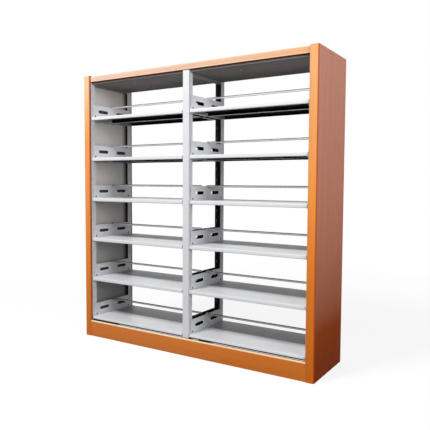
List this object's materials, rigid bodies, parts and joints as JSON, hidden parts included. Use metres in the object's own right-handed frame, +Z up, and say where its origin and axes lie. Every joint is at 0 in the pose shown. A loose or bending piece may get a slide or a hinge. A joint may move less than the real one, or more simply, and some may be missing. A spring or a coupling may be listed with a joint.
{
  "type": "library shelving",
  "caption": "Double sided library shelving with wood-grain end panels, slotted steel columns, back-to-back lift-off shelves on hook-in brackets and a rod along the middle of each level.",
  "frame": {"origin": "on the floor under the middle of the unit", "axes": "+X along the bays to the right seen from the front, +Y from front to rear, +Z up"},
  "size_m": [1.893, 0.49, 2],
  "materials": {
    "wood_grain": "satin wood-grain laminate",
    "top_board": "satin wood-grain laminate",
    "frame_paint": "fine satin powder coat, light grey",
    "shelf_paint": "fine satin powder coat, pale grey",
    "bracket_paint": "fine satin powder coat, light grey",
    "liner_paint": "fine satin powder coat, warm grey",
    "tray_paint": "fine satin powder coat, grey",
    "rod_finish": "smooth satin coat",
    "zinc_steel": "bright zinc plate"
  },
  "bodies": {
    "frame": {"end_panel_left": "wood_grain", "end_panel_right": "wood_grain", "end_liner_left": "liner_paint", "end_liner_right": "liner_paint", "column_left_front": "frame_paint", "column_left_rear": "frame_paint", "column_centre_front": "frame_paint", "column_centre_rear": "frame_paint", "column_right_front": "frame_paint", "column_right_rear": "frame_paint", "top_ties": "frame_paint", "base_ties": "frame_paint", "levelling_feet": "zinc_steel", "fascia_front": "wood_grain", "fascia_rear": "wood_grain", "plinth_front": "wood_grain", "plinth_rear": "wood_grain", "top_panel": "top_board", "canopy_tray_left": "tray_paint", "canopy_tray_right": "tray_paint", "canopy_screws": "zinc_steel", "book_stop_rods": "rod_finish", "brackets_left_1": "bracket_paint", "brackets_left_2": "bracket_paint", "brackets_left_3": "bracket_paint", "brackets_left_4": "bracket_paint", "brackets_left_5": "bracket_paint", "brackets_left_6": "bracket_paint", "brackets_right_1": "bracket_paint", "brackets_right_2": "bracket_paint", "brackets_right_3": "bracket_paint", "brackets_right_4": "bracket_paint", "brackets_right_5": "bracket_paint", "brackets_right_6": "bracket_paint"},
    "shelf_left_front_1": {"shelf_left_front_1": "shelf_paint"},
    "shelf_left_front_2": {"shelf_left_front_2": "shelf_paint"},
    "shelf_left_front_3": {"shelf_left_front_3": "shelf_paint"},
    "shelf_left_front_4": {"shelf_left_front_4": "shelf_paint"},
    "shelf_left_front_5": {"shelf_left_front_5": "shelf_paint"},
    "shelf_left_front_6": {"shelf_left_front_6": "shelf_paint"},
    "shelf_left_rear_1": {"shelf_left_rear_1": "shelf_paint"},
    "shelf_left_rear_2": {"shelf_left_rear_2": "shelf_paint"},
    "shelf_left_rear_3": {"shelf_left_rear_3": "shelf_paint"},
    "shelf_left_rear_4": {"shelf_left_rear_4": "shelf_paint"},
    "shelf_left_rear_5": {"shelf_left_rear_5": "shelf_paint"},
    "shelf_left_rear_6": {"shelf_left_rear_6": "shelf_paint"},
    "shelf_right_front_1": {"shelf_right_front_1": "shelf_paint"},
    "shelf_right_front_2": {"shelf_right_front_2": "shelf_paint"},
    "shelf_right_front_3": {"shelf_right_front_3": "shelf_paint"},
    "shelf_right_front_4": {"shelf_right_front_4": "shelf_paint"},
    "shelf_right_front_5": {"shelf_right_front_5": "shelf_paint"},
    "shelf_right_front_6": {"shelf_right_front_6": "shelf_paint"},
    "shelf_right_rear_1": {"shelf_right_rear_1": "shelf_paint"},
    "shelf_right_rear_2": {"shelf_right_rear_2": "shelf_paint"},
    "shelf_right_rear_3": {"shelf_right_rear_3": "shelf_paint"},
    "shelf_right_rear_4": {"shelf_right_rear_4": "shelf_paint"},
    "shelf_right_rear_5": {"shelf_right_rear_5": "shelf_paint"},
    "shelf_right_rear_6": {"shelf_right_rear_6": "shelf_paint"}
  },
  "joints": [
    {"name": "lift_left_front_1", "type": "slide", "parent": "frame", "child": "shelf_left_front_1", "axis": [0, 0, 1], "range_m": [0, 0.088]},
    {"name": "lift_left_front_2", "type": "slide", "parent": "frame", "child": "shelf_left_front_2", "axis": [0, 0, 1], "range_m": [0, 0.088]},
    {"name": "lift_left_front_3", "type": "slide", "parent": "frame", "child": "shelf_left_front_3", "axis": [0, 0, 1], "range_m": [0, 0.088]},
    {"name": "lift_left_front_4", "type": "slide", "parent": "frame", "child": "shelf_left_front_4", "axis": [0, 0, 1], "range_m": [0, 0.088]},
    {"name": "lift_left_front_5", "type": "slide", "parent": "frame", "child": "shelf_left_front_5", "axis": [0, 0, 1], "range_m": [0, 0.088]},
    {"name": "lift_left_front_6", "type": "slide", "parent": "frame", "child": "shelf_left_front_6", "axis": [0, 0, 1], "range_m": [0, 0.088]},
    {"name": "lift_left_rear_1", "type": "slide", "parent": "frame", "child": "shelf_left_rear_1", "axis": [0, 0, 1], "range_m": [0, 0.088]},
    {"name": "lift_left_rear_2", "type": "slide", "parent": "frame", "child": "shelf_left_rear_2", "axis": [0, 0, 1], "range_m": [0, 0.088]},
    {"name": "lift_left_rear_3", "type": "slide", "parent": "frame", "child": "shelf_left_rear_3", "axis": [0, 0, 1], "range_m": [0, 0.088]},
    {"name": "lift_left_rear_4", "type": "slide", "parent": "frame", "child": "shelf_left_rear_4", "axis": [0, 0, 1], "range_m": [0, 0.088]},
    {"name": "lift_left_rear_5", "type": "slide", "parent": "frame", "child": "shelf_left_rear_5", "axis": [0, 0, 1], "range_m": [0, 0.088]},
    {"name": "lift_left_rear_6", "type": "slide", "parent": "frame", "child": "shelf_left_rear_6", "axis": [0, 0, 1], "range_m": [0, 0.088]},
    {"name": "lift_right_front_1", "type": "slide", "parent": "frame", "child": "shelf_right_front_1", "axis": [0, 0, 1], "range_m": [0, 0.088]},
    {"name": "lift_right_front_2", "type": "slide", "parent": "frame", "child": "shelf_right_front_2", "axis": [0, 0, 1], "range_m": [0, 0.088]},
    {"name": "lift_right_front_3", "type": "slide", "parent": "frame", "child": "shelf_right_front_3", "axis": [0, 0, 1], "range_m": [0, 0.088]},
    {"name": "lift_right_front_4", "type": "slide", "parent": "frame", "child": "shelf_right_front_4", "axis": [0, 0, 1], "range_m": [0, 0.088]},
    {"name": "lift_right_front_5", "type": "slide", "parent": "frame", "child": "shelf_right_front_5", "axis": [0, 0, 1], "range_m": [0, 0.088]},
    {"name": "lift_right_front_6", "type": "slide", "parent": "frame", "child": "shelf_right_front_6", "axis": [0, 0, 1], "range_m": [0, 0.088]},
    {"name": "lift_right_rear_1", "type": "slide", "parent": "frame", "child": "shelf_right_rear_1", "axis": [0, 0, 1], "range_m": [0, 0.088]},
    {"name": "lift_right_rear_2", "type": "slide", "parent": "frame", "child": "shelf_right_rear_2", "axis": [0, 0, 1], "range_m": [0, 0.088]},
    {"name": "lift_right_rear_3", "type": "slide", "parent": "frame", "child": "shelf_right_rear_3", "axis": [0, 0, 1], "range_m": [0, 0.088]},
    {"name": "lift_right_rear_4", "type": "slide", "parent": "frame", "child": "shelf_right_rear_4", "axis": [0, 0, 1], "range_m": [0, 0.088]},
    {"name": "lift_right_rear_5", "type": "slide", "parent": "frame", "child": "shelf_right_rear_5", "axis": [0, 0, 1], "range_m": [0, 0.088]},
    {"name": "lift_right_rear_6", "type": "slide", "parent": "frame", "child": "shelf_right_rear_6", "axis": [0, 0, 1], "range_m": [0, 0.088]}
  ]
}
